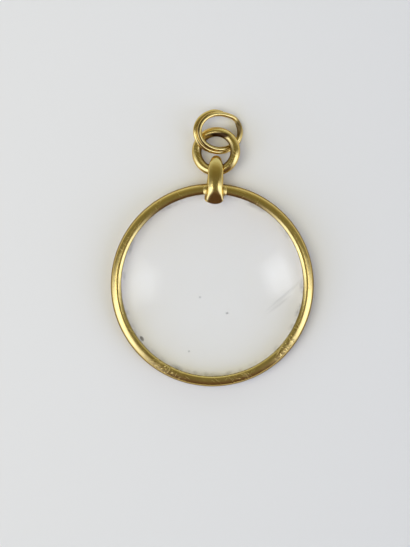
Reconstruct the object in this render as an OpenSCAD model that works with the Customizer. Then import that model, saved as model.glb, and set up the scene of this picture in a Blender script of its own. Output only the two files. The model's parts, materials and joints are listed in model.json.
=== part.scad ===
// Magnifier pendant, lying on its back on a flat surface.
// A round lens sits in a groove of the rim. A half-round strip is bent over the top of the rim
// as the bail, with one leg soldered to the front of the rim and one to the back. A thick jump
// ring hangs in the bail, and a split ring of two turns is linked through the jump ring.
// +Z is up, +Y runs from the lens to the rings, and the origin is on the surface, under the
// middle of the part.

/* [Rim] */
// Outer diameter of the rim
rim_d = 40; // [37:0.5:43]
// Width of the rim from its outer edge to its inner edge
rim_w = 2.1; // [1.9:0.05:2.4]
// Thickness of the rim from its front crest to its back crest
rim_t = 3.1; // [2.8:0.05:3.5]
// Distance from the outer edge to the crest
crest_in = 1.4; // [1.2:0.05:1.5]
// Radius of the slope outside the crest
outer_slope_r = 2; // [1.8:0.05:2.6]
// Radius of the slope inside the crest
inner_slope_r = 0.8; // [0.72:0.02:1]
// Radius of the barrel-shaped outer side
side_r = 2.5; // [2:0.1:4]

/* [Lens] */
// Thickness of the lens at its middle
lens_t = 3.6; // [3:0.1:3.8]
// Thickness of the lens at its edge
lens_edge_t = 1.2; // [1:0.05:1.4]
// Depth that the lens reaches into the rim's groove
lens_seat = 0.4; // [0.3:0.05:0.6]
// Clearance round the lens in the groove
lens_gap = 0.05; // [0.03:0.01:0.1]

/* [Bail] */
// Width of the strip where the eye starts
strip_w = 3.05; // [2.6:0.05:3.3]
// Width of the strip at the end of the eye
loop_w = 2.05; // [1.4:0.05:2.4]
// Thickness of the half-round strip where it crosses the rim
strip_t = 1.4; // [1.2:0.05:1.6]
// Thickness of the strip at the end of the eye
loop_t = 0.9; // [0.8:0.05:1.2]
// Length of the rounded end of the eye
loop_l = 2.2; // [1.8:0.1:2.6]
// Width of the two legs near their tips
tip_w = 3.4; // [3:0.05:3.8]
// Thickness of the strip at its tips
tip_t = 0.25; // [0.2:0.05:0.5]
// Power of the section's curve, from 1 for a true half round down to flatter ones
strip_power = 0.7; // [0.6:0.05:1]
// The same at the tips, where the strip is flatter
tip_power = 0.35; // [0.3:0.05:1]
// Sideways place of the bail
bail_shift = -0.12; // [-0.3:0.02:0.3]
// Sideways place of the back leg's tip beside the front one
back_shift = -0.35; // [-0.5:0.05:0.5]
// Height of the bail above the rim's outer edge
bail_rise = 5.5; // [5.2:0.1:6.5]
// Reach of the tips over the glass, from the rim's inner edge
tip_reach = 1.95; // [1.6:0.05:2.2]
// Length of the nose that falls from the top of each leg to its tip
nose_l = 3.7; // [3.4:0.1:4.2]
// Length of the bend at the start of the nose, which then falls straight to the tip
bend_l = 2; // [1:0.1:2.6]
// Length of the rounded corners of the nose, seen from the front
nose_corner = 0.9; // [0.6:0.05:1.2]
// Depth that the tips are bent down towards the glass
tip_dip = 0.45; // [0.2:0.05:0.5]
// Length of the leg that is bent down
dip_l = 2.2; // [1.8:0.1:2.6]
// Depth that the crests of the rim sink into the solder under each leg
solder_sink = 0.1; // [0.06:0.01:0.2]
// Diameter of the low beads of solder beside the legs
bead_d = 2.2; // [1.8:0.05:2.4]
// Thickness of those beads
bead_t = 0.8; // [0.6:0.05:1]

/* [Jump ring] */
// Outer diameter of the jump ring
jump_d = 9.62; // [9.4:0.02:10.6]
// Diameter of its wire
jump_wire = 1.9; // [1.7:0.05:1.95]
// Distance of the middle of its wire from the end of the bail's eye
jump_sink = 2.15; // [2.1:0.05:2.4]
// Drop of its wire below the middle of the eye
jump_drop = 0.03; // [0:0.01:0.1]
// Sideways shift of its wire in the eye
jump_shift = -0.25; // [-0.3:0.05:0.3]
// Angle by which its right side lies higher
jump_roll = 11.8; // [10:0.1:13]
// Angle by which its far side lies lower
jump_pitch = 2.7; // [1:0.1:4]

/* [Split ring] */
// Outer length of the split ring
split_l = 10.48; // [10.2:0.02:11.2]
// Outer width of the split ring
split_w = 8.98; // [8.8:0.02:10]
// Diameter of its wire
split_wire = 0.94; // [0.8:0.01:0.95]
// Distance by which the second turn lies inside the first
turn_in = 0.52; // [0.5:0.01:0.7]
// Distance by which the second turn lies above the first
turn_up = 0.82; // [0.81:0.01:0.9]
// Clearance between the split ring and the top of the bail
bail_gap = 0.24; // [0.1:0.02:0.6]
// Sideways place of the split ring
split_shift = 0.2; // [-0.3:0.02:0.3]
// Clearance between the two rings where the upper one leans on the other
lean_gap = 0; // [0:0.01:0.3]
// Clearance under the rings
floor_gap = 0.03; // [0.01:0.01:0.1]

/* [Hidden] */

gold = [0.84, 0.67, 0.27];
glass = [0.82, 0.9, 0.92, 0.5];

round_fn = 96;
flat_curve_fn = 720;
turned_fn = 180;
wire_fn = 48;
bead_fn = 24;

// Radii and half thicknesses of the rim, and the lens's curve
rim_r = rim_d / 2;
inner_r = rim_r - rim_w;
crest_r = rim_r - crest_in;
rim_h = rim_t / 2;
lens_r = inner_r + lens_seat;
lens_sag = (lens_t - lens_edge_t) / 2;
lens_curve_r = (lens_r * lens_r + lens_sag * lens_sag) / (2 * lens_sag);
groove_h = lens_z(inner_r) + lens_gap;

// Places along the bail, measured from the middle of the rim. Each leg is highest where the nose
// starts. From there to the end of the eye the outer face follows an ellipse, and the inner face
// does so round the end of the eye.
leg_h = rim_h - solder_sink;
bail_h = leg_h + strip_t;
tip_y = inner_r - tip_reach;
nose_y = tip_y + nose_l;
nose_fall = strip_t + tip_dip - tip_t;
nose_slope = nose_fall / (nose_l - bend_l * 2 / 3);
crown_l = rim_r + bail_rise - nose_y;
eye_end_y = rim_r + bail_rise - loop_t;
eye_y = eye_end_y - loop_l;

// Sections along the bail's nose and leg and round its eye, and the sides of each section
nose_shares = [1 / 50, 1 / 15, 1 / 6, 1 / 3, 1 / 2, 2 / 3, 5 / 6, 14 / 15];
leg_shares = [0, 1 / 4, 1 / 2, 3 / 4];
eye_angle = asin((eye_y - nose_y) / crown_l);
eye_steps = 12;
strip_sides = 12;

// The back of the bail is lower than the back of the rim, so the pendant leans by a small angle,
// at which the bend of the bail's back leg and the rim's back crest both touch the surface
main_slope = (bail_h - rim_h) / (crest_r + nose_y);
rest_t = bend_l * sqrt(main_slope / nose_slope);
fall_h = outer_slope_r - rim_h + bail_h - nose_drop(rest_t);
fall_l = crest_r + nose_y - rest_t;
lean = acos(outer_slope_r / norm([fall_h, fall_l])) - atan2(fall_l, fall_h);
lift = outer_slope_r + crest_r * sin(lean) - (outer_slope_r - rim_h) * cos(lean);

// The jump ring turns about its wire in the eye
jump_wire_r = jump_wire / 2;
jump_mid_r = jump_d / 2 - jump_wire_r;
jump_y = eye_end_y - jump_sink;
jump_z = lift + jump_y * sin(lean) - jump_drop;

// The split ring's path: angles of its two ends and of the step from one turn to the next
split_wire_r = split_wire / 2;
split_half_l = split_l / 2 - split_wire_r;
split_half_w = split_w / 2 - split_wire_r;
start_angle = 80;
end_angle = 765;
step_start_angle = 395;
step_end_angle = 438;
taper_angle = 22;
end_share = 0.35;
split_steps = 86;
wire_sides = 10;

// The split ring leans on the jump ring's low side and stands on the surface at its right side.
// The low side's place across and along is given in shares of the jump ring's radius, from its
// wire in the eye.
low_side_shares = [0.9, 1.3];
split_y = (rim_r + bail_rise) * cos(lean) + bail_gap + split_w / 2;
low_side_z = jump_z
    - jump_mid_r * low_side_shares * [sin(jump_roll), sin(jump_pitch)];
split_roll = asin((low_side_z + jump_wire_r + lean_gap - floor_gap)
                  / (split_half_l + low_side_shares[0] * jump_mid_r));
split_z = floor_gap + split_wire_r + split_half_l * sin(split_roll)
        + turn_up / 2 * cos(split_roll);

// The origin is under the middle of the part
split_top = max([for (p = split_points()) p[1]]);
part_back = (rim_r - side_r) * cos(lean) + side_r;
middle_y = (split_y + split_top - part_back) / 2;

function lens_z(r) = sqrt(lens_curve_r ^ 2 - r ^ 2) - lens_curve_r + lens_t / 2;

function smooth(t) = let (u = max(0, min(1, t))) u * u * (3 - 2 * u);

function unit(v) = v / norm(v);

// Triangles of a closed tube whose sections hold the same number of points
function tube_faces(sections, sides) = concat(
    [for (i = [0 : sections - 2], j = [0 : sides - 1])
        [i * sides + j, i * sides + (j + 1) % sides, (i + 1) * sides + j]],
    [for (i = [0 : sections - 2], j = [0 : sides - 1])
        [i * sides + (j + 1) % sides, (i + 1) * sides + (j + 1) % sides, (i + 1) * sides + j]],
    [[for (j = [0 : sides - 1]) sides - 1 - j]],
    [[for (j = [0 : sides - 1]) (sections - 1) * sides + j]]);

// One section of the strip, from its inner face at one place to its outer face at another, each
// given along Y and Z, with its width, the power of its curve and its sideways place
function strip_section(inner, outer, w, power, x) =
    [for (j = [0 : strip_sides])
        let (a = 180 * j / strip_sides,
             across = sign(cos(a)) * pow(abs(cos(a)), power),
             p = inner + pow(abs(sin(a)), power) * (outer - inner))
        [x + w / 2 * across, p[0], p[1]]];

function strip_width(y) =
    let (d = y - tip_y, corner = min(1, d / nose_corner))
    (tip_w + (strip_w - tip_w) * smooth(d / (eye_y - tip_y)))
    * sqrt(1 - (1 - corner) * (1 - corner));

// Sideways place of a leg, on the front (side 1) or the back (side -1)
function leg_shift(y, side) =
    bail_shift + (side < 0 ? back_shift * smooth((eye_y - y) / (eye_y - tip_y)) : 0);

function leg_inner(y) = leg_h - tip_dip * (1 - smooth((y - tip_y) / dip_l));

// Fall of the nose at a distance from its start: a bend, then a straight slope to the tip
function nose_drop(t) =
    t < bend_l
    ? nose_slope * t ^ 3 / (3 * bend_l ^ 2)
    : nose_slope * (t - bend_l * 2 / 3);

function leg_outer(y) =
    y < nose_y
    ? bail_h - nose_drop(nose_y - y)
    : bail_h * cos(asin((y - nose_y) / crown_l));

// Sections of one leg from its tip to the eye, on the front (side 1) or the back (side -1)
function leg_sections(side) =
    [for (y = concat([for (s = nose_shares) tip_y + s * nose_l],
                     [for (s = leg_shares) nose_y + s * (eye_y - nose_y)]))
        strip_section(
            [y, side * leg_inner(y)],
            [y, side * leg_outer(y)],
            strip_width(y),
            strip_power + (tip_power - strip_power) * smooth((nose_y - y) / nose_l),
            leg_shift(y, side))];

// Towards the end of the eye the strip is narrower and its section is a true half round
function eye_sections() =
    [for (i = [0 : eye_steps])
        let (share = i / eye_steps,
             a = 180 * share,
             b = eye_angle + (180 - 2 * eye_angle) * share,
             near_end = pow(sin(a), 2))
        strip_section(
            [eye_y + loop_l * sin(a), leg_h * cos(a)],
            [nose_y + crown_l * sin(b), bail_h * cos(b)],
            strip_w + (loop_w - strip_w) * near_end,
            strip_power + (1 - strip_power) * near_end,
            bail_shift)];

function turned_round(list) = [for (i = [len(list) - 1 : -1 : 0]) list[i]];

// Middle of the split ring's wire at an angle along its two turns
function split_middle(a) =
    let (inside = smooth((a - step_start_angle) / (step_end_angle - step_start_angle)))
    [(split_half_l - turn_in * inside) * cos(a),
     (split_half_w - turn_in * inside) * sin(a),
     turn_up * (inside - 0.5)];

function split_radius(a) =
    split_wire_r
    * min(1, end_share + (1 - end_share) * min(a - start_angle, end_angle - a) / taper_angle);

function split_section(a) =
    let (along = unit(split_middle(a + 1) - split_middle(a - 1)),
         out = unit(cross(along, [0, 0, 1])),
         up = cross(out, along))
    [for (j = [0 : wire_sides - 1])
        let (b = 360 * (j + 0.5) / wire_sides)
        split_middle(a) + split_radius(a) * (cos(b) * out + sin(b) * up)];

function split_points() =
    [for (i = [0 : split_steps], p = split_section(start_angle + (end_angle - start_angle) * i / split_steps))
        p];

// Stands the leaning pendant on the surface
module lay() {
    translate([0, -middle_y, lift])
        rotate([lean, 0, 0])
            children();
}

module dome(x, r) {
    intersection() {
        translate([x, rim_h - r]) circle(r, $fn = round_fn);
        translate([x, r - rim_h]) circle(r, $fn = round_fn);
    }
}

// Section of the rim: a wide outer slope, a crest and a narrow inner slope, on both faces
module rim_section() {
    difference() {
        union() {
            intersection() {
                dome(crest_r, outer_slope_r);
                translate([rim_r - side_r, 0]) circle(side_r, $fn = round_fn);
                translate([crest_r, -rim_h]) square([crest_in, rim_t]);
            }
            intersection() {
                union() {
                    for (side = [-1, 1])
                        translate([crest_r, side * (rim_h - inner_slope_r)])
                            circle(inner_slope_r, $fn = round_fn);
                    translate([inner_r, inner_slope_r - rim_h])
                        square([rim_w, rim_t - 2 * inner_slope_r]);
                }
                translate([inner_r, -rim_h]) square([crest_r - inner_r, rim_t]);
            }
        }
        translate([inner_r - lens_seat, -groove_h])
            square([2 * lens_seat + lens_gap, 2 * groove_h]);
    }
}

module bail_strip() {
    sections = concat(leg_sections(1), eye_sections(), turned_round(leg_sections(-1)));
    polyhedron(
        points = [for (s = sections, p = s) p],
        faces = tube_faces(len(sections), strip_sides + 1));
}

module solder_beads() {
    for (side = [-1, 1], face = [-1, 1])
        translate([leg_shift(crest_r, face) + side * (strip_width(crest_r) / 2 - bead_d / 8),
                   crest_r,
                   face * (rim_h - bead_t / 4)])
            scale([1, 1, bead_t / bead_d])
                sphere(d = bead_d, $fn = bead_fn);
}

module rim_and_bail() {
    color(gold) lay() {
        rotate_extrude($fn = turned_fn) rim_section();
        bail_strip();
        solder_beads();
    }
}

module lens() {
    color(glass) lay()
        rotate_extrude($fn = turned_fn)
            intersection() {
                translate([0, lens_t / 2 - lens_curve_r])
                    circle(lens_curve_r, $fn = flat_curve_fn);
                translate([0, lens_curve_r - lens_t / 2])
                    circle(lens_curve_r, $fn = flat_curve_fn);
                translate([0, -lens_t]) square([lens_r, 2 * lens_t]);
            }
}

module jump_ring() {
    color(gold)
        translate([jump_shift, jump_y * cos(lean) - middle_y, jump_z])
            rotate([-jump_pitch, -jump_roll, 0])
                translate([0, jump_mid_r, 0])
                    rotate_extrude($fn = round_fn)
                        translate([jump_mid_r, 0]) circle(jump_wire_r, $fn = wire_fn);
}

module split_ring() {
    color(gold)
        translate([split_shift, split_y - middle_y, split_z])
            rotate([0, split_roll, 0])
                polyhedron(
                    points = split_points(),
                    faces = tube_faces(split_steps + 1, wire_sides));
}

rim_and_bail();
lens();
jump_ring();
split_ring();
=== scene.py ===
import json
import math

import bmesh
import bpy
from mathutils import Matrix, Vector

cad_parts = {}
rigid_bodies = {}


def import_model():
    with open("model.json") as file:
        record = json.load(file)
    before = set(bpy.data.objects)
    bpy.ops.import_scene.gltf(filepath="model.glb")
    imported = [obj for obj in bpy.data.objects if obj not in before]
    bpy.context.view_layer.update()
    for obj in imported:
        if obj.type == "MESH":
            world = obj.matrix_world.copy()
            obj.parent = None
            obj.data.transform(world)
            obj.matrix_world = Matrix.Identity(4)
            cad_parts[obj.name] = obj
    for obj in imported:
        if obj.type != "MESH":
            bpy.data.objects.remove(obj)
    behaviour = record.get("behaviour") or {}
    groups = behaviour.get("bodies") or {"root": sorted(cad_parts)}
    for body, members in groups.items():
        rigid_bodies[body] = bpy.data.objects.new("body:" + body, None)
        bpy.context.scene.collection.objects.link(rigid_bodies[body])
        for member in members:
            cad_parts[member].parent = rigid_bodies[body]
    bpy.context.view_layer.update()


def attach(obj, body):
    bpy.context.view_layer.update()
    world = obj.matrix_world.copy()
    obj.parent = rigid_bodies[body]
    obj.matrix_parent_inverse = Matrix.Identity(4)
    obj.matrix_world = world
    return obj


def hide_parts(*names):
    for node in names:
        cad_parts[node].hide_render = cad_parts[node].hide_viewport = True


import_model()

# Rim
# The rim is a drawn gold wire with a ridge on each face, bent to a ring and soldered shut, with a
# groove turned in its inner side that holds the lens. The pendant lies on the back of the rim and
# on the back of its bail, so it leans by about two degrees.
mm = 0.001
scene_objects = bpy.context.scene.collection.objects
lean = math.radians(1.96017)
rim_centre = Vector((0, -7.29462, 2.18647)) * mm
lie = Matrix.Translation(rim_centre) @ Matrix.Rotation(lean, 4, "X")

rim_r = 19.985 * mm
rim_w = 2.085 * mm
rim_h = 1.549 * mm
crest_in = 1.385 * mm
outer_slope_r = 2 * mm
inner_slope_r = 0.8 * mm
side_r = 2.5 * mm
inner_r = rim_r - rim_w
crest_r = rim_r - crest_in
groove_r = 18.35 * mm
groove_h = 0.7 * mm
rim_steps = 640
rim_points = 104
side_steps = 16
outer_slope_steps = 24
inner_slope_steps = 16
meeting_rounds = 20
edge_rounding = 0.05 * mm
smoothing_detail = 8
smallest_step = 1e-12
merge_distance = 0.001 * mm

gold_colour = (0.9, 0.67, 0.22)
deep_gold_colour = (0.6, 0.36, 0.09)
# Dark brown painted into the gold as shade
shade_colour = (0.075, 0.038, 0.013)
edge_gold_colour = (0.6, 0.5, 0.4, 1)


def new_piece(name, mesh, material):
    """Makes a finished piece of a mesh whose points are already in their place."""
    mesh.name = name
    mesh.materials.clear()
    mesh.materials.append(material)
    piece = bpy.data.objects.new(name, mesh)
    scene_objects.link(piece)
    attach(piece, "root")
    return piece


def arc(centre, radius, start, end, steps):
    """Points of an arc in the plane of a section, from one angle to another, in degrees."""
    turns = [math.radians(start + (end - start) * i / steps) for i in range(steps + 1)]
    return [centre + radius * Vector((math.cos(t), math.sin(t))) for t in turns]


def even_loop(points, count):
    """The same closed outline with evenly spaced points."""
    closed = points + points[:1]
    lengths = [0.0]
    for a, b in zip(closed, closed[1:]):
        lengths.append(lengths[-1] + (b - a).length)
    found, i = [], 0
    for k in range(count):
        target = lengths[-1] * k / count
        while lengths[i + 1] < target:
            i += 1
        share = (target - lengths[i]) / max(lengths[i + 1] - lengths[i], smallest_step)
        found.append(closed[i].lerp(closed[i + 1], share))
    return found


def rounded_loop(points, count, rounding):
    """An outline with its corners worn round, as even points."""
    fine = even_loop(points, count * smoothing_detail)
    spacing = (fine[1] - fine[0]).length
    passes = max(1, round((rounding / spacing) ** 2))
    for _ in range(passes):
        fine = [(fine[i - 1] + 2 * p + fine[(i + 1) % len(fine)]) / 4 for i, p in enumerate(fine)]
    return even_loop(fine, count)


def rim_outline():
    """Half section of the rim: barrel side, wide outer slope, crest, narrow inner slope, groove."""
    # The barrel side and the outer slope meet at this height, which is found step by step.
    edge_z = rim_h / 2
    for _ in range(meeting_rounds):
        edge_x = rim_r - side_r + math.sqrt(side_r**2 - edge_z**2)
        edge_z = rim_h - outer_slope_r + math.sqrt(outer_slope_r**2 - (edge_x - crest_r) ** 2)
    side_turn = math.degrees(math.asin(edge_z / side_r))
    slope_turn = math.degrees(math.acos((edge_x - crest_r) / outer_slope_r))
    inner_turn = math.degrees(math.acos((inner_r - crest_r) / inner_slope_r))
    side = arc(Vector((rim_r - side_r, 0)), side_r, 0, side_turn, side_steps)
    outer_middle = Vector((crest_r, rim_h - outer_slope_r))
    outer = arc(outer_middle, outer_slope_r, slope_turn, 90, outer_slope_steps)
    inner_middle = Vector((crest_r, rim_h - inner_slope_r))
    inner = arc(inner_middle, inner_slope_r, 90, inner_turn, inner_slope_steps)
    groove = [Vector((inner_r, groove_h)), Vector((groove_r, groove_h)), Vector((groove_r, 0))]
    upper = side + outer[1:] + inner[1:] + groove
    lower = [Vector((p.x, -p.y)) for p in reversed(upper[1:-1])]
    return rounded_loop(upper + lower, rim_points, edge_rounding)


def outline_mesh(name, points, closed):
    """A line of edges that a Geometry Nodes tree reads as the section of a turned piece."""
    mesh = bpy.data.meshes.new(name)
    links = [(i, i + 1) for i in range(len(points) - 1)]
    if closed:
        links.append((len(points) - 1, 0))
    mesh.from_pydata([(p.x, p.y, 0) for p in points], links, [])
    return mesh


class Nodes:
    """A node tree of any kind, with short ways to add nodes."""

    def __init__(self, tree):
        self.tree = tree

    def add(self, kind, links=(), **settings):
        """Adds a node, with its settings, and links or sets the inputs named."""
        node = self.tree.nodes.new(kind)
        for key, value in settings.items():
            setattr(node, key, value)
        for key, value in dict(links).items():
            if isinstance(value, bpy.types.NodeSocket):
                self.tree.links.new(value, node.inputs[key])
            else:
                node.inputs[key].default_value = value
        return node

    def math(self, operation, *values):
        return self.add("ShaderNodeMath", enumerate(values), operation=operation).outputs[0]


class Shaping(Nodes):
    """A Geometry Nodes tree with named inputs for its sizes."""

    def __init__(self, name, sizes):
        super().__init__(bpy.data.node_groups.new(name, "GeometryNodeTree"))
        face = self.tree.interface
        face.new_socket("Geometry", in_out="INPUT", socket_type="NodeSocketGeometry")
        for size, value in sizes.items():
            kind = "NodeSocketInt" if isinstance(value, int) else "NodeSocketFloat"
            face.new_socket(size, in_out="INPUT", socket_type=kind).default_value = value
        face.new_socket("Geometry", in_out="OUTPUT", socket_type="NodeSocketGeometry")
        self.sizes = self.add("NodeGroupInput")

    def size(self, name):
        return self.sizes.outputs[name]

    def finish(self, geometry, material):
        """Ends the tree with plain smooth faces of one material."""
        smooth = self.add("GeometryNodeSetShadeSmooth", {"Geometry": geometry})
        real = self.add("GeometryNodeRealizeInstances", {"Geometry": smooth.outputs[0]})
        dressed = self.add("GeometryNodeSetMaterial", {"Geometry": real.outputs[0]})
        dressed.inputs["Material"].default_value = material
        self.add("NodeGroupOutput", {"Geometry": dressed.outputs[0]})

    def run(self, start, **sizes):
        """Runs the tree once on a start mesh, and gives its result as a plain mesh."""
        holder = bpy.data.objects.new("start", start)
        scene_objects.link(holder)
        modifier = holder.modifiers.new("make", "NODES")
        modifier.node_group = self.tree
        for item in self.tree.interface.items_tree:
            if item.in_out == "INPUT" and item.name in sizes:
                modifier[item.identifier] = sizes[item.name]
        seen = holder.evaluated_get(bpy.context.evaluated_depsgraph_get())
        mesh = bpy.data.meshes.new_from_object(seen)
        holder.modifiers.remove(modifier)
        bpy.data.objects.remove(holder)
        bpy.data.meshes.remove(start)
        return mesh


def turned_tree(name, material):
    """Turns the start line about the Z axis: X of the line is the radius and Y the height. The line
    is moved in by the radius of the rail that it follows, so any rail gives the same piece."""
    tree = Shaping(name, {"Steps": 360, "Rail Radius": 0.01})
    inwards = tree.math("MULTIPLY", tree.size("Rail Radius"), -1.0)
    back = tree.add("ShaderNodeCombineXYZ", {"X": inwards})
    line = tree.add("GeometryNodeMeshToCurve", {"Mesh": tree.size("Geometry")})
    moved = tree.add(
        "GeometryNodeTransform", {"Geometry": line.outputs[0], "Translation": back.outputs[0]}
    )
    rail = tree.add(
        "GeometryNodeCurvePrimitiveCircle",
        {"Resolution": tree.size("Steps"), "Radius": tree.size("Rail Radius")},
        mode="RADIUS",
    )
    swept = tree.add(
        "GeometryNodeCurveToMesh",
        {"Curve": rail.outputs["Curve"], "Profile Curve": moved.outputs[0]},
    )
    closed = tree.add(
        "GeometryNodeMergeByDistance", {"Geometry": swept.outputs[0], "Distance": merge_distance}
    )
    tree.finish(closed.outputs[0], material)
    return tree


class Shading(Nodes):
    """A shader tree, of a material, of a group or of the world."""

    def ramp(self, value, low, high, to_low=0.0, to_high=1.0):
        """Spreads one range of a value over another, and cuts off the rest."""
        spread = self.add(
            "ShaderNodeMapRange",
            {
                "Value": value,
                "From Min": low,
                "From Max": high,
                "To Min": to_low,
                "To Max": to_high,
            },
        )
        return spread.outputs["Result"]

    def mix(self, share, first, second):
        """Mixes two colours by a share."""
        node = self.add("ShaderNodeMix", data_type="RGBA")
        colours = [socket for socket in node.inputs if socket.type == "RGBA"]
        for socket, value in zip((node.inputs[0], *colours), (share, first, second)):
            if isinstance(value, bpy.types.NodeSocket):
                self.tree.links.new(value, socket)
            elif isinstance(value, tuple):
                socket.default_value = (*value, 1)
            else:
                socket.default_value = value
        return node.outputs[2]

    def bump(self, height, depth, under=None):
        """Unevenness of a depth, on top of the normal given."""
        links = {"Height": height, "Distance": depth, "Strength": 1.0}
        if under is not None:
            links["Normal"] = under
        return self.add("ShaderNodeBump", links).outputs[0]


def new_material(name):
    """A new material, with its nodes and its main shader."""
    material = bpy.data.materials.new(name)
    material.use_nodes = True
    return material, Shading(material.node_tree), material.node_tree.nodes["Principled BSDF"]


def new_group(name, inputs, outputs):
    """A shader node group with named inputs and outputs."""
    group = bpy.data.node_groups.new(name, "ShaderNodeTree")
    for key, (kind, value) in inputs.items():
        socket = group.interface.new_socket(key, in_out="INPUT", socket_type="NodeSocket" + kind)
        if value is not None:
            socket.default_value = value
    for key in outputs:
        group.interface.new_socket(key, in_out="OUTPUT", socket_type="NodeSocketFloat")
    return group


def hairline_scratches():
    """Fine straight scratches in three directions, from wiping and wear."""
    group = new_group(
        "hairline scratches",
        {"Vector": ("Vector", None), "Lines per mm": ("Float", 6.0), "Amount": ("Float", 0.5)},
        ("Mask", "Height"),
    )
    shading = Shading(group)
    given = shading.add("NodeGroupInput")
    dense = shading.math("MULTIPLY", given.outputs["Lines per mm"], 1000.0)
    # For each direction, its angle and how little the noise changes along it
    directions = ((0.5, 0.05), (-0.9, 0.07), (1.9, 0.04))
    change_upwards = 0.4
    scratch_from, scratch_to = 0.6, 0.7
    masks = []
    for turn, squeeze in directions:
        turned = shading.add(
            "ShaderNodeVectorRotate",
            {"Vector": given.outputs["Vector"], "Angle": turn},
            rotation_type="Z_AXIS",
        )
        scaled = shading.add(
            "ShaderNodeVectorMath",
            {0: turned.outputs[0], 1: (1.0, squeeze, change_upwards)},
            operation="MULTIPLY",
        )
        noise = shading.add(
            "ShaderNodeTexNoise",
            {"Vector": scaled.outputs[0], "Scale": dense, "Detail": 2.0, "Roughness": 0.6},
        )
        masks.append(shading.ramp(noise.outputs[0], scratch_from, scratch_to))
    both = shading.math("MAXIMUM", masks[0], masks[1])
    every = shading.math("MAXIMUM", both, masks[2])
    mask = shading.math("MULTIPLY", every, given.outputs["Amount"])
    height = shading.math("MULTIPLY", mask, -1.0)
    shading.add("NodeGroupOutput", {"Mask": mask, "Height": height})
    return group


def handling_wear():
    """Broad unevenness of a hand-polished surface, with small pits and nicks."""
    group = new_group(
        "handling wear",
        {"Vector": ("Vector", None), "Patch mm": ("Float", 3.0), "Pits": ("Float", 0.5)},
        ("Tone", "Swell", "Pit"),
    )
    tone_from, tone_to = 0.35, 0.7
    pits_each_metre = 900.0
    pit_edge, pit_floor = 0.1, 0.02
    kept_from, kept_to = 0.72, 0.74
    shading = Shading(group)
    given = shading.add("NodeGroupInput")
    patches = shading.math("DIVIDE", 1000.0, given.outputs["Patch mm"])
    tone = shading.add(
        "ShaderNodeTexNoise",
        {"Vector": given.outputs["Vector"], "Scale": patches, "Detail": 4.0, "Roughness": 0.6},
    )
    swell = shading.add(
        "ShaderNodeTexNoise",
        {"Vector": given.outputs["Vector"], "Scale": patches, "Detail": 1.0},
    )
    cells = shading.add(
        "ShaderNodeTexVoronoi",
        {"Vector": given.outputs["Vector"], "Scale": pits_each_metre},
    )
    near = shading.ramp(cells.outputs["Distance"], pit_edge, pit_floor)
    chosen = shading.add("ShaderNodeSeparateColor", {"Color": cells.outputs["Color"]})
    kept = shading.ramp(chosen.outputs[0], kept_from, kept_to)
    pit = shading.math("MULTIPLY", shading.math("MULTIPLY", near, kept), given.outputs["Pits"])
    shading.add(
        "NodeGroupOutput",
        {
            "Tone": shading.ramp(tone.outputs[0], tone_from, tone_to),
            "Swell": swell.outputs[0],
            "Pit": pit,
        },
    )
    return group


def worn_specks():
    """Short close dents, such as an edge gets where it is knocked and rubbed."""
    group = new_group(
        "worn specks",
        {"Vector": ("Vector", None), "Specks per mm": ("Float", 2.5), "Amount": ("Float", 0.0)},
        ("Height",),
    )
    # The specks are drawn out along X, because the noise changes less that way.
    drawn_out = (0.35, 1.0, 1.0)
    speck_from, speck_to = 0.5, 0.62
    shading = Shading(group)
    given = shading.add("NodeGroupInput")
    dense = shading.math("MULTIPLY", given.outputs["Specks per mm"], 1000.0)
    stretched = shading.add(
        "ShaderNodeVectorMath",
        {0: given.outputs["Vector"], 1: drawn_out},
        operation="MULTIPLY",
    )
    noise = shading.add(
        "ShaderNodeTexNoise", {"Vector": stretched.outputs[0], "Scale": dense, "Detail": 1.0}
    )
    speck = shading.ramp(noise.outputs[0], speck_from, speck_to)
    raised = shading.math("MULTIPLY", speck, given.outputs["Amount"])
    shading.add("NodeGroupOutput", {"Height": shading.math("MULTIPLY", raised, -1.0)})
    return group


scratches_group = hairline_scratches()
wear_group = handling_wear()
specks_group = worn_specks()


def spot(shading, where, centre, sizes, edge=0.5, turn=(0, 0, 0)):
    """Mask of an egg-shaped place, given by its centre, its half sizes and its turn, with a soft
    edge."""
    own = shading.add("ShaderNodeMapping", {"Vector": where}, vector_type="TEXTURE")
    own.inputs["Location"].default_value = centre
    own.inputs["Rotation"].default_value = turn
    own.inputs["Scale"].default_value = sizes
    away = shading.add("ShaderNodeVectorMath", {0: own.outputs[0]}, operation="LENGTH")
    return shading.ramp(away.outputs["Value"], 1.0 + edge / 2, 1.0 - edge / 2)


def level_distance(shading, where, centre):
    """Distance from an upright line through a place."""
    from_centre = shading.add(
        "ShaderNodeVectorMath", {0: where, 1: tuple(centre)}, operation="SUBTRACT"
    )
    level = shading.add(
        "ShaderNodeVectorMath", {0: from_centre.outputs[0], 1: (1, 1, 0)}, operation="MULTIPLY"
    )
    away = shading.add("ShaderNodeVectorMath", {0: level.outputs[0]}, operation="LENGTH")
    return away.outputs["Value"]


scratch_amount = 0.3
scratches_per_mm = 3.0
scratch_depth = 0.008 * mm
scratch_dulling = 0.25
speck_depth = 0.03 * mm
wear_patch = 3.0
swell_depth = 0.02 * mm
pit_amount = 0.6
deep_gold_share = 0.25
shade_dulling = 0.25
rubbed_core = 0.3


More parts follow.
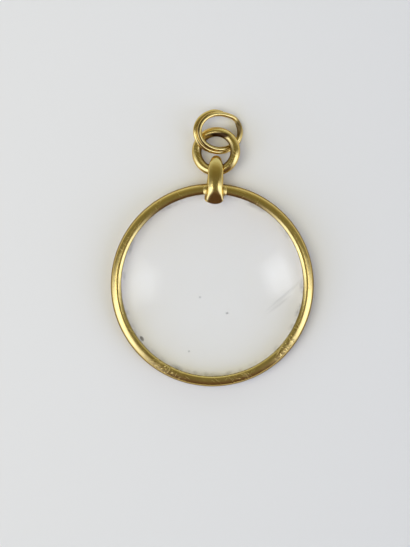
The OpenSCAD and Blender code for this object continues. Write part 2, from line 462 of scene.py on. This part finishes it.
def polished_gold(name, roughness, rubbed=(), painted_shade=None):
    """Polished gold with hairline scratches, slight dents and a deeper colour in random patches.
    Each rubbed place is its centre, its radius and how strongly it is scratched and dented. The
    last argument, if given, is a function that makes the mask of painted shade from the place on
    the piece: there the gold is painted dark brown and made duller."""
    material, shading, gold = new_material(name)
    where = shading.add("ShaderNodeTexCoord").outputs["Object"]
    scratched, dented = scratch_amount, 0.0
    for centre, radius, strength in rubbed:
        away = shading.add(
            "ShaderNodeVectorMath",
            {0: where, 1: tuple(c * mm for c in centre)},
            operation="DISTANCE",
        )
        outer, core = radius * mm, radius * mm * rubbed_core
        near = shading.ramp(away.outputs["Value"], outer, core, 0.0, strength)
        scratched = shading.math("ADD", scratched, near)
        dented = shading.math("ADD", dented, near)
    scratches = shading.add(
        "ShaderNodeGroup",
        {"Vector": where, "Lines per mm": scratches_per_mm, "Amount": scratched},
        node_tree=scratches_group,
    )
    specks = shading.add(
        "ShaderNodeGroup", {"Vector": where, "Amount": dented}, node_tree=specks_group
    )
    wear = shading.add(
        "ShaderNodeGroup",
        {"Vector": where, "Patch mm": wear_patch, "Pits": pit_amount},
        node_tree=wear_group,
    )
    deep = shading.math("MULTIPLY", wear.outputs["Tone"], deep_gold_share)
    colour = shading.mix(deep, gold_colour, deep_gold_colour)
    rough = shading.math("MULTIPLY_ADD", scratches.outputs["Mask"], scratch_dulling, roughness)
    # Painted shade: the masked places are painted dark brown and made duller.
    if painted_shade:
        shade = painted_shade(shading, where)
        colour = shading.mix(shade, colour, shade_colour)
        rough = shading.math("MULTIPLY_ADD", shade, shade_dulling, rough)
    shading.tree.links.new(colour, gold.inputs["Base Color"])
    gold.inputs["Metallic"].default_value = 1.0
    gold.inputs["Specular Tint"].default_value = edge_gold_colour
    shading.tree.links.new(rough, gold.inputs["Roughness"])
    swell = shading.bump(wear.outputs["Swell"], swell_depth)
    grooves = shading.math("SUBTRACT", scratches.outputs["Height"], wear.outputs["Pit"])
    scored = shading.bump(grooves, scratch_depth, swell)
    knocked = shading.bump(specks.outputs["Height"], speck_depth, scored)
    shading.tree.links.new(knocked, gold.inputs["Normal"])
    return material


# How dark the painted shade is at its darkest
shade_amount = 0.75
rim_shade_from = 0.3 * mm
rim_shade_to = 0.1 * mm


def rim_edge_shade(shading, where):
    """Painted shade: the outermost edge of the rim is painted dark and made duller."""
    outwards = level_distance(shading, where, rim_centre)
    return shading.ramp(outwards, rim_r - rim_shade_from, rim_r - rim_shade_to, 0.0, shade_amount)


# Centre and radius in millimetres, and how strongly the place is rubbed
rim_rubbed = (
    ((-7.7, -24.1, 3.0), 4.5, 1.0),
    ((15.3, -19.5, 3.0), 3.2, 1.6),
    ((5.9, -25.1, 3.0), 2.5, 0.8),
)
rim_gold = polished_gold("rim gold", roughness=0.2, rubbed=rim_rubbed, painted_shade=rim_edge_shade)

turned_rim = turned_tree("turned rim", rim_gold)
rim_mesh = turned_rim.run(outline_mesh("rim outline", rim_outline(), True), Steps=rim_steps)
rim_mesh.transform(lie)
rim = new_piece("rim", rim_mesh, rim_gold)
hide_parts("rim_and_bail")

# Lens
# The lens is one piece of clear glass, ground and polished, round and bulging on both faces. Its
# thin edge sits loose in the rim's groove.
lens_r = 18.3 * mm
lens_t = 3.6 * mm
lens_curve_r = 140.137 * mm
lens_bevel = 0.06 * mm
lens_rings = 48
lens_steps = 256
glass_ior = 1.52
straight_colour = (1.03, 1.03, 1.03, 1)
mark_colour = (0.1, 0.1, 0.1)
grey_from = 0.9 * mm
grey_to = 0.3 * mm
grey_amount = 0.5
grey_patches_each_metre = 450.0
patch_from, patch_to = 0.5, 0.68
# Centre and half sizes in millimetres, turn, how dark the mark is and how soft its edge
lens_marks = (
    ((-2.32, -9.74, 4.0), (0.22, 0.18, 9.0), (0, 0, 0), 0.3, 0.5),
    ((3.1, -12.69, 4.0), (0.3, 0.22, 9.0), (0, 0, 0.3), 0.35, 0.5),
    ((-4.11, -20.44, 4.0), (0.2, 0.2, 9.0), (0, 0, 0), 0.25, 0.5),
    ((14.1, -8.9, 4.0), (3.4, 0.3, 9.0), (0, 0, 0.75), 0.12, 1.2),
    ((13.3, -10.6, 4.0), (2.2, 0.25, 9.0), (0, 0, 0.7), 0.1, 1.2),
    ((-13.44, -18.31, 4.0), (0.3, 0.55, 9.0), (0, 0, 0.6), 0.75, 0.5),
)


def clear_glass():
    """Clear glass with small marks, and greyer in patches where it meets the rim. Lamps shine
    straight through it onto the floor."""
    material, shading, glass = new_material("clear glass")
    out = material.node_tree.nodes["Material Output"]
    where = shading.add("ShaderNodeTexCoord").outputs["Object"]
    marked = 0.0
    for centre, half_sizes, turn, darkness, edge in lens_marks:
        sizes = tuple(s * mm for s in half_sizes)
        mask = spot(shading, where, tuple(c * mm for c in centre), sizes, edge, turn)
        marked = shading.math("MAXIMUM", marked, shading.math("MULTIPLY", mask, darkness))
    outwards = level_distance(shading, where, rim_centre)
    near_rim = shading.ramp(outwards, inner_r - grey_from, inner_r - grey_to)
    noise = shading.add(
        "ShaderNodeTexNoise",
        {"Vector": where, "Scale": grey_patches_each_metre, "Detail": 3.0},
    )
    patches = shading.ramp(noise.outputs[0], patch_from, patch_to, 0.0, grey_amount)
    marked = shading.math("MAXIMUM", marked, shading.math("MULTIPLY", near_rim, patches))
    colour = shading.mix(marked, (1.0, 1.0, 1.0), mark_colour)
    shading.tree.links.new(colour, glass.inputs["Base Color"])
    glass.inputs["Roughness"].default_value = 0.0
    glass.inputs["IOR"].default_value = glass_ior
    glass.inputs["Transmission Weight"].default_value = 1.0
    straight = shading.add("ShaderNodeBsdfTransparent", {"Color": straight_colour})
    path = shading.add("ShaderNodeLightPath")
    lamp = shading.math("MAXIMUM", path.outputs["Is Shadow Ray"], path.outputs["Is Diffuse Ray"])
    mixed = shading.add(
        "ShaderNodeMixShader", {0: lamp, 1: glass.outputs[0], 2: straight.outputs[0]}
    )
    shading.tree.links.new(mixed.outputs[0], out.inputs["Surface"])
    return material


def lens_outline():
    """From the middle of the back face over the edge to the middle of the front face."""
    front = []
    for i in range(lens_rings + 1):
        r = (lens_r - lens_bevel) * i / lens_rings
        front.append(Vector((r, math.sqrt(lens_curve_r**2 - r**2) - lens_curve_r + lens_t / 2)))
    edge = front[-1] + Vector((lens_bevel, -lens_bevel))
    half = front + [edge]
    return [Vector((p.x, -p.y)) for p in half] + half[::-1]


lens_glass = clear_glass()
turned_lens = turned_tree("turned lens", lens_glass)
lens_mesh = turned_lens.run(outline_mesh("lens outline", lens_outline(), False), Steps=lens_steps)
lens_mesh.transform(lie)
lens = new_piece("lens_glass", lens_mesh, lens_glass)
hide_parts("lens")

# Bail
# The bail is a half-round gold strip, bent double over the top of the rim so that it leaves an eye
# for the jump ring. It is thinner round the eye. Its two rounded ends reach over the glass, and
# are soldered to the front and to the back of the rim.
strip_w = 3.05 * mm
loop_w = 2.05 * mm
strip_t = 1.4 * mm
tip_w = 3.4 * mm
tip_t = 0.25 * mm
strip_power = 0.7
bend_power = 0.95
tip_power = 0.45
bail_shift = -0.12 * mm
back_shift = -0.35 * mm
leg_h = 1.45 * mm
bail_h = 2.844 * mm
tip_y = 15.95 * mm
nose_y = 19.65 * mm
nose_l = 3.7 * mm
bend_l = 2.0 * mm
nose_corner = 0.9 * mm
tip_dip = 0.45 * mm
dip_l = 2.2 * mm
nose_fall = strip_t + tip_dip - tip_t
nose_slope = nose_fall / (nose_l - bend_l * 2 / 3)
crown_l = 5.85 * mm
eye_y = 22.4 * mm
loop_l = 2.2 * mm
strip_edge = 0.08
strip_points = 56
nose_steps = 40
leg_steps = 20
eye_steps = 56
dome_steps = 60


def smooth_step(t):
    u = max(0.0, min(1.0, t))
    return u * u * (3 - 2 * u)


def strip_width(y):
    """Width of the strip, which narrows from its ends to the eye and has rounded end corners."""
    along = y - tip_y
    corner = min(1.0, along / nose_corner)
    wide = tip_w + (strip_w - tip_w) * smooth_step(along / (eye_y - tip_y))
    return wide * math.sqrt(1 - (1 - corner) ** 2)


def leg_inner(y):
    """Height of a leg's inner face, which dips towards the glass at the tip."""
    return leg_h - tip_dip * (1 - smooth_step((y - tip_y) / dip_l))


def leg_outer(y):
    """Height of a leg's outer face. It is highest where the nose starts, which bends down and then
    falls straight to the tip."""
    t = nose_y - y
    if t > bend_l:
        return bail_h - nose_slope * (t - bend_l * 2 / 3)
    if t > 0:
        return bail_h - nose_slope * t**3 / (3 * bend_l**2)
    return bail_h * math.cos(math.asin((y - nose_y) / crown_l))


def leg_shift(y, side):
    """Sideways place of the front leg (side 1) or the back leg (side -1)."""
    beside = smooth_step((eye_y - y) / (eye_y - tip_y)) if side < 0 else 0
    return bail_shift + back_shift * beside


def strip_outline(power):
    """Half-round section of unit width and height, flatter with a lower power, with worn edges."""
    dome = []
    for p in arc(Vector((0, 0)), 1.0, 0, 180, dome_steps):
        dome.append(Vector((math.copysign(abs(p.x) ** power, p.x) / 2, abs(p.y) ** power)))
    return rounded_loop(dome, strip_points, strip_edge)


def leg_sections(side):
    """Sections of a leg from its tip to the eye, each its points along X, Y and Z. They are rounder
    at the bend of the nose and flatter towards the tip."""
    sections = []
    for i in range(1, nose_steps + leg_steps):
        if i <= nose_steps:
            y = tip_y + nose_l * (1 - math.cos(math.radians(90 * i / nose_steps)))
        else:
            y = nose_y + (eye_y - nose_y) * (i - nose_steps) / leg_steps
        low, high = side * leg_inner(y), side * leg_outer(y)
        x, wide = leg_shift(y, side), strip_width(y)
        near_bend = smooth_step((nose_y - y) / bend_l)
        near_tip = smooth_step((nose_y - bend_l / 2 - y) / (nose_l - bend_l / 2))
        power = strip_power + (bend_power - strip_power) * near_bend
        outline = strip_outline(power + (tip_power - power) * near_tip)
        sections.append([(x + wide * p.x, y, low + (high - low) * p.y) for p in outline])
    return sections


def eye_sections():
    """Sections round the eye. Towards its end the strip is narrower and truly half round."""
    sections = []
    eye_turn = math.asin((eye_y - nose_y) / crown_l)
    for i in range(eye_steps + 1):
        inner_turn = math.pi * i / eye_steps
        outer_turn = eye_turn + (math.pi - 2 * eye_turn) * i / eye_steps
        inner = Vector((eye_y + loop_l * math.sin(inner_turn), leg_h * math.cos(inner_turn)))
        outer = Vector((nose_y + crown_l * math.sin(outer_turn), bail_h * math.cos(outer_turn)))
        near_end = math.sin(inner_turn) ** 2
        wide = strip_w + (loop_w - strip_w) * near_end
        outline = strip_outline(strip_power + (1 - strip_power) * near_end)
        sections.append([(bail_shift + wide * p.x, *inner.lerp(outer, p.y)) for p in outline])
    return sections


def strip_mesh():
    """The strip, section by section from the front tip round the eye to the back tip."""
    sections = leg_sections(1) + eye_sections() + list(reversed(leg_sections(-1)))
    points = [point for section in sections for point in section]
    n = strip_points
    faces = [tuple(range(n)), tuple(len(points) - n + j for j in reversed(range(n)))]
    for i in range(len(points) // n - 1):
        for j in range(n):
            k = (j + 1) % n
            faces.append((i * n + j, (i + 1) * n + j, (i + 1) * n + k, i * n + k))
    mesh = bpy.data.meshes.new("bail")
    mesh.from_pydata(points, [], faces)
    mesh.polygons.foreach_set("use_smooth", [True] * len(mesh.polygons))
    mesh.update()
    return mesh


bail_gold = polished_gold("bail gold", roughness=0.19)
bail_mesh = strip_mesh()
bail_mesh.transform(lie)
new_piece("bail", bail_mesh, bail_gold)

# Solder beads
# Where the two legs cross the rim, the gold solder has run out into small rounded beads at both
# sides of the strip.
bead_d = 2.18 * mm
bead_t = 0.78 * mm
bead_in = bead_d / 8
bead_sink = bead_t / 4
bead_splits = 4


def solder_mesh():
    """Four low smooth beads."""
    mesh = bmesh.new()
    for side in (-1, 1):
        for face in (-1, 1):
            x = leg_shift(crest_r, face) + side * (strip_width(crest_r) / 2 - bead_in)
            place = Matrix.Translation((x, crest_r, face * (rim_h - bead_sink)))
            flat = Matrix.Diagonal((1, 1, bead_t / bead_d, 1))
            bmesh.ops.create_icosphere(
                mesh, subdivisions=bead_splits, radius=bead_d / 2, matrix=place @ flat
            )
    for polygon in mesh.faces:
        polygon.smooth = True
    made = bpy.data.meshes.new("solder beads")
    mesh.to_mesh(made)
    mesh.free()
    return made


solder_gold = polished_gold("solder gold", roughness=0.3)
solder = solder_mesh()
solder.transform(lie)
new_piece("solder_beads", solder, solder_gold)

# Jump ring
# The jump ring is a thick round gold wire, bent to a ring and soldered shut. It hangs in the eye
# of the bail, and one side of it lies higher than the other.
jump_mid_r = 3.86 * mm
jump_wire_r = 0.945 * mm
jump_place = Vector((-0.25, 15.1422, 2.92437)) * mm
jump_roll = math.radians(11.8)
jump_pitch = math.radians(2.7)
jump_shade_from = 0.4 * mm
jump_shade_to = 0.8 * mm


def ring_tree(name, material):
    """A closed ring of round wire."""
    sizes = {"Ring Radius": 0.01, "Wire Radius": 0.001, "Steps": 256, "Wire Steps": 64}
    tree = Shaping(name, sizes)
    rail = tree.add(
        "GeometryNodeCurvePrimitiveCircle",
        {"Resolution": tree.size("Steps"), "Radius": tree.size("Ring Radius")},
        mode="RADIUS",
    )
    wire = tree.add(
        "GeometryNodeCurvePrimitiveCircle",
        {"Resolution": tree.size("Wire Steps"), "Radius": tree.size("Wire Radius")},
        mode="RADIUS",
    )
    swept = tree.add(
        "GeometryNodeCurveToMesh",
        {"Curve": rail.outputs["Curve"], "Profile Curve": wire.outputs["Curve"]},
    )
    tree.finish(swept.outputs[0], material)
    return tree


jump_turn = (
    Matrix.Translation(jump_place)
    @ Matrix.Rotation(-jump_roll, 4, "Y")
    @ Matrix.Rotation(-jump_pitch, 4, "X")
    @ Matrix.Translation((0, jump_mid_r, 0))
)
# Painted shade at the far end of the ring's inner side
shaded_inside = Vector((0.25, 22.15, 4.0)) * mm
shaded_inside_half = Vector((2.1, 0.62, 2.0)) * mm


def jump_inner_shade(shading, where):
    """Painted shade: the ring's inner side is painted dark and made duller, darkest at its far end.
    """
    outwards = level_distance(shading, where, jump_turn.translation)
    shade_from, shade_to = jump_mid_r - jump_shade_from, jump_mid_r - jump_shade_to
    inside = shading.ramp(outwards, shade_from, shade_to, 0.0, shade_amount)
    return shading.math("MAXIMUM", inside, spot(shading, where, shaded_inside, shaded_inside_half))


jump_gold = polished_gold("jump ring gold", roughness=0.2, painted_shade=jump_inner_shade)
wire_ring = ring_tree("wire ring", jump_gold)
jump_mesh = wire_ring.run(
    bpy.data.meshes.new("nothing"),
    **{"Ring Radius": jump_mid_r, "Wire Radius": jump_wire_r},
)
jump_mesh.transform(jump_turn)
jump_ring = new_piece("jump_ring_wire", jump_mesh, jump_gold)
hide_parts("jump_ring")

# Split ring
# The split ring is a thinner gold wire wound in two turns, with tapered ends. The first turn lies
# outside and below, and steps to the second turn inside and above. It is linked through the jump
# ring, leans on its low side and stands on the surface with its other side.
split_half_l = 4.75 * mm
split_half_w = 3.985 * mm
split_sizes = {
    "Half Length": split_half_l,
    "Half Width": split_half_w,
    "Wire Radius": 0.465 * mm,
    "Turn In": 0.52 * mm,
    "Turn Up": 0.82 * mm,
    "Start Angle": 80.0,
    "End Angle": 765.0,
    "Step Start Angle": 395.0,
    "Step End Angle": 438.0,
    "Taper Angle": 22.0,
    "End Share": 0.35,
    "Steps": 900,
    "Wire Steps": 40,
}
split_place = Vector((0.2, 22.9205, 2.56038)) * mm
split_roll = math.radians(20.5776)


def split_ring_tree(name, material):
    """A wire along two turns of an oval. The angle runs evenly from the first end to the other."""
    tree = Shaping(name, split_sizes)
    start, end = tree.size("Start Angle"), tree.size("End Angle")
    line = tree.add(
        "GeometryNodeCurvePrimitiveLine", {"Start": (0, 0, 0), "End": (1, 0, 0)}, mode="POINTS"
    )
    even = tree.add(
        "GeometryNodeResampleCurve",
        {"Curve": line.outputs[0], "Count": tree.size("Steps")},
        mode="COUNT",
    )
    index = tree.add("GeometryNodeInputIndex").outputs[0]
    last = tree.math("SUBTRACT", tree.size("Steps"), 1.0)
    share = tree.math("DIVIDE", index, last)
    angle = tree.math("MULTIPLY_ADD", tree.math("SUBTRACT", end, start), share, start)
    inside = tree.add(
        "ShaderNodeMapRange",
        {
            "Value": angle,
            "From Min": tree.size("Step Start Angle"),
            "From Max": tree.size("Step End Angle"),
        },
        interpolation_type="SMOOTHSTEP",
    ).outputs["Result"]
    inwards = tree.math("MULTIPLY", tree.size("Turn In"), inside)
    turn = tree.math("RADIANS", angle)
    half_length = tree.math("SUBTRACT", tree.size("Half Length"), inwards)
    half_width = tree.math("SUBTRACT", tree.size("Half Width"), inwards)
    x = tree.math("MULTIPLY", half_length, tree.math("COSINE", turn))
    y = tree.math("MULTIPLY", half_width, tree.math("SINE", turn))
    z = tree.math("MULTIPLY", tree.size("Turn Up"), tree.math("SUBTRACT", inside, 0.5))
    place = tree.add("ShaderNodeCombineXYZ", {"X": x, "Y": y, "Z": z})
    bent = tree.add(
        "GeometryNodeSetPosition", {"Geometry": even.outputs[0], "Position": place.outputs[0]}
    )
    to_end = tree.math(
        "MINIMUM", tree.math("SUBTRACT", angle, start), tree.math("SUBTRACT", end, angle)
    )
    grown = tree.math(
        "MULTIPLY_ADD",
        tree.math("DIVIDE", to_end, tree.size("Taper Angle")),
        tree.math("SUBTRACT", 1.0, tree.size("End Share")),
        tree.size("End Share"),
    )
    thick = tree.math("MULTIPLY", tree.size("Wire Radius"), tree.math("MINIMUM", grown, 1.0))
    tapered = tree.add("GeometryNodeSetCurveRadius", {"Curve": bent.outputs[0], "Radius": thick})
    wire = tree.add(
        "GeometryNodeCurvePrimitiveCircle",
        {"Resolution": tree.size("Wire Steps"), "Radius": 1.0},
        mode="RADIUS",
    )
    swept = tree.add(
        "GeometryNodeCurveToMesh",
        {
            "Curve": tapered.outputs[0],
            "Profile Curve": wire.outputs["Curve"],
            "Scale": tree.add("GeometryNodeInputRadius").outputs[0],
            "Fill Caps": True,
        },
    )
    tree.finish(swept.outputs[0], material)
    return tree


# Place and half width of the painted shade along the seam, how soft it is, and where it fades out
# across the oval, as shares of the oval's size
seam_share = 0.95
seam_half = 0.02
seam_blur = 0.5
seam_fade_from = -0.2
seam_fade_to = -0.6
# Where the painted shade on the ring's right side lies, and how dark it is
shaded_turn = Vector((3.95, 23.6, 1.5)) * mm
shaded_turn_half = Vector((0.8, 1.8, 2.0)) * mm
shaded_turn_share = 0.8


def split_ring_shade(shading, where):
    """Painted shade in the left of the seam between the turns, and on the ring's right side."""
    own = shading.add("ShaderNodeMapping", {"Vector": where}, vector_type="TEXTURE")
    own.inputs["Location"].default_value = split_place
    own.inputs["Rotation"].default_value = (0, split_roll, 0)
    own.inputs["Scale"].default_value = (split_half_l, split_half_w, 1)
    share = level_distance(shading, own.outputs[0], (0, 0, 0))
    off_seam = shading.math("ABSOLUTE", shading.math("SUBTRACT", share, seam_share))
    line = shading.ramp(off_seam, seam_half * (1 + seam_blur), seam_half * (1 - seam_blur))
    across = shading.add("ShaderNodeSeparateXYZ", {"Vector": own.outputs[0]}).outputs["X"]
    seam = shading.math("MULTIPLY", line, shading.ramp(across, seam_fade_from, seam_fade_to))
    shaded = spot(shading, where, shaded_turn, shaded_turn_half)
    shaded = shading.math("MULTIPLY", shaded, shaded_turn_share)
    return shading.math("MAXIMUM", seam, shaded)


split_gold = polished_gold("split ring gold", roughness=0.18, painted_shade=split_ring_shade)
split_wire = split_ring_tree("split ring", split_gold)
split_mesh = split_wire.run(bpy.data.meshes.new("nothing"), **split_sizes)
split_mesh.transform(Matrix.Translation(split_place) @ Matrix.Rotation(split_roll, 4, "Y"))
split_ring = new_piece("split_ring_wire", split_mesh, split_gold)
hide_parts("split_ring")

# Floor
# A plain sheet of matt pale paper, which the pendant lies on. It isn't part of the object.
floor_half = 3.0
paper_colour = (0.8, 0.795, 0.76, 1)
paper_roughness = 0.9
paper_shine = 0.1
floor_corners = ((-1, -1), (1, -1), (1, 1), (-1, 1))
floor_mesh = bpy.data.meshes.new("floor")
floor_mesh.from_pydata(
    [(x * floor_half, y * floor_half, 0) for x, y in floor_corners],
    [],
    [(0, 1, 2, 3)],
)
floor = bpy.data.objects.new("floor", floor_mesh)
scene_objects.link(floor)
paper, _, surface = new_material("pale paper")
surface.inputs["Base Color"].default_value = paper_colour
surface.inputs["Roughness"].default_value = paper_roughness
surface.inputs["Specular IOR Level"].default_value = paper_shine
floor_mesh.materials.append(paper)

# Light
# A pale room with two tall cool soft lights, at the left and at the right and a little towards the
# viewer. Each is broad and soft, with a brighter core and a small bright top about twenty degrees
# beside the vertical. The tops make the two glows in the lens. The far wall is pale near the
# horizon, and the viewer's side of the room is dark and warm. A warm soft fill light hangs above
# the surface, a little to the left. It doesn't show in the metal or the glass.
lamp_edge = 11.0
# Brightness by height, which runs from 0 at the horizon to 1 overhead
lamp_heights = ((0.0, 1.0), (0.8, 1.0), (0.88, 0.8), (0.92, 0.5), (0.95, 0.22), (0.975, 0.0))
core_heights = ((0.0, 0.5), (0.6, 0.8), (0.8, 1.0), (0.88, 0.8), (0.92, 0.3), (0.95, 0.0))
top_heights = ((0.88, 0.0), (0.91, 1.0), (0.94, 1.0), (0.965, 0.0))
# Direction and half width in degrees, brightness by height, and colour
lamps = (
    (209.0, 26.0, lamp_heights, (0.82, 0.96, 1.5)),
    (341.0, 21.5, lamp_heights, (0.82, 0.96, 1.5)),
    (209.0, 13.0, core_heights, (0.85, 1.0, 1.5)),
    (341.0, 11.0, core_heights, (0.85, 1.0, 1.5)),
    (200.0, 9.0, top_heights, (3.4, 3.5, 3.6)),
    (350.0, 9.0, top_heights, (2.2, 2.3, 2.4)),
)
fill_watts = 0.8
fill_colour = (1.0, 0.93, 0.68)
fill_size = 0.3
fill_place = (-0.14, 0.0, 0.4)
# The room's colours by height, on the far side, in the middle and on the viewer's side
far_side = (
    (0.0, (0.63, 0.72, 0.82)),
    (0.34, (0.63, 0.72, 0.82)),
    (0.6, (0.46, 0.47, 0.39)),
    (0.82, (0.27, 0.245, 0.13)),
    (0.95, (0.19, 0.155, 0.065)),
    (1.0, (0.165, 0.165, 0.12)),
)
middle = (
    (0.0, (0.19, 0.185, 0.112)),
    (0.82, (0.17, 0.165, 0.095)),
    (0.95, (0.17, 0.155, 0.085)),
    (1.0, (0.165, 0.165, 0.12)),
)
near_side = (
    (0.0, (0.093, 0.054, 0.041)),
    (0.5, (0.093, 0.054, 0.041)),
    (0.82, (0.14, 0.095, 0.077)),
    (0.97, (0.145, 0.12, 0.07)),
    (1.0, (0.165, 0.165, 0.12)),
)
# How far towards the far side a direction points, where one part of the room fades into the next
near_end = -0.6
middle_start = 0.0
middle_end = 0.2
far_start = 0.8


def height_ramp(shading, height, stops):
    """Brightness or colour by the height of a direction, from the horizon to overhead."""
    node = shading.add("ShaderNodeValToRGB", {"Fac": height})
    ramp = node.color_ramp
    while len(ramp.elements) < len(stops):
        ramp.elements.new(0.5)
    for element, (place, value) in zip(ramp.elements, stops):
        element.position = place
        element.color = (*value, 1) if isinstance(value, tuple) else (value, value, value, 1)
    return node.outputs["Color"]


world = bpy.data.worlds.new("studio")
bpy.context.scene.world = world
world.use_nodes = True
room = Shading(world.node_tree)
looking = room.add("ShaderNodeTexCoord").outputs["Generated"]
parts = room.add("ShaderNodeSeparateXYZ", {"Vector": looking})
up = parts.outputs["Z"]
to_middle = room.ramp(parts.outputs["Y"], near_end, middle_start)
to_far = room.ramp(parts.outputs["Y"], middle_end, far_start)
nearer = room.mix(to_middle, height_ramp(room, up, near_side), height_ramp(room, up, middle))
tones = room.mix(to_far, nearer, height_ramp(room, up, far_side))
flat = room.add("ShaderNodeVectorMath", {0: looking, 1: (1, 1, 0)}, operation="MULTIPLY")
level = room.add("ShaderNodeVectorMath", {0: flat.outputs[0]}, operation="NORMALIZE").outputs[0]
light = tones
for azimuth, half_width, heights, colour in lamps:
    turn = math.radians(azimuth)
    towards = room.add(
        "ShaderNodeVectorMath",
        {0: level, 1: (math.cos(turn), math.sin(turn), 0)},
        operation="DOT_PRODUCT",
    )
    outside = math.cos(math.radians(half_width + lamp_edge))
    inside = math.cos(math.radians(half_width - lamp_edge))
    across = room.ramp(towards.outputs["Value"], outside, inside)
    shape = room.add(
        "ShaderNodeVectorMath", {0: height_ramp(room, up, heights), 1: across}, operation="MULTIPLY"
    )
    shine = room.add("ShaderNodeVectorMath", {0: shape.outputs[0], 1: colour}, operation="MULTIPLY")
    light = room.add(
        "ShaderNodeVectorMath", {0: light, 1: shine.outputs[0]}, operation="ADD"
    ).outputs[0]
world.node_tree.links.new(light, world.node_tree.nodes["Background"].inputs["Color"])

fill_data = bpy.data.lights.new("fill", "AREA")
fill_data.energy = fill_watts
fill_data.color = fill_colour
fill_data.size = fill_size
fill = bpy.data.objects.new("fill", fill_data)
fill.location = fill_place
fill.visible_glossy = False
fill.visible_transmission = False
scene_objects.link(fill)

# Camera
# It looks straight down on the pendant, and is turned by the small angle at which the pendant
# lies in the picture.
camera_height = 0.5
view_middle = Vector((-1.506, -5.0767)) * mm
view_height = 0.1077
film = 36
photo_turn = math.radians(2.05)
camera_data = bpy.data.cameras.new("camera")
camera_data.sensor_fit = "VERTICAL"
camera_data.sensor_height = film
camera_data.sensor_width = film
camera_data.lens = film * camera_height / view_height
camera = bpy.data.objects.new("camera", camera_data)
camera.location = (*view_middle, camera_height + rim_centre.z)
camera.rotation_euler = (0, 0, photo_turn)
scene_objects.link(camera)
bpy.context.scene.camera = camera
bpy.context.scene.view_settings.view_transform = "Standard"
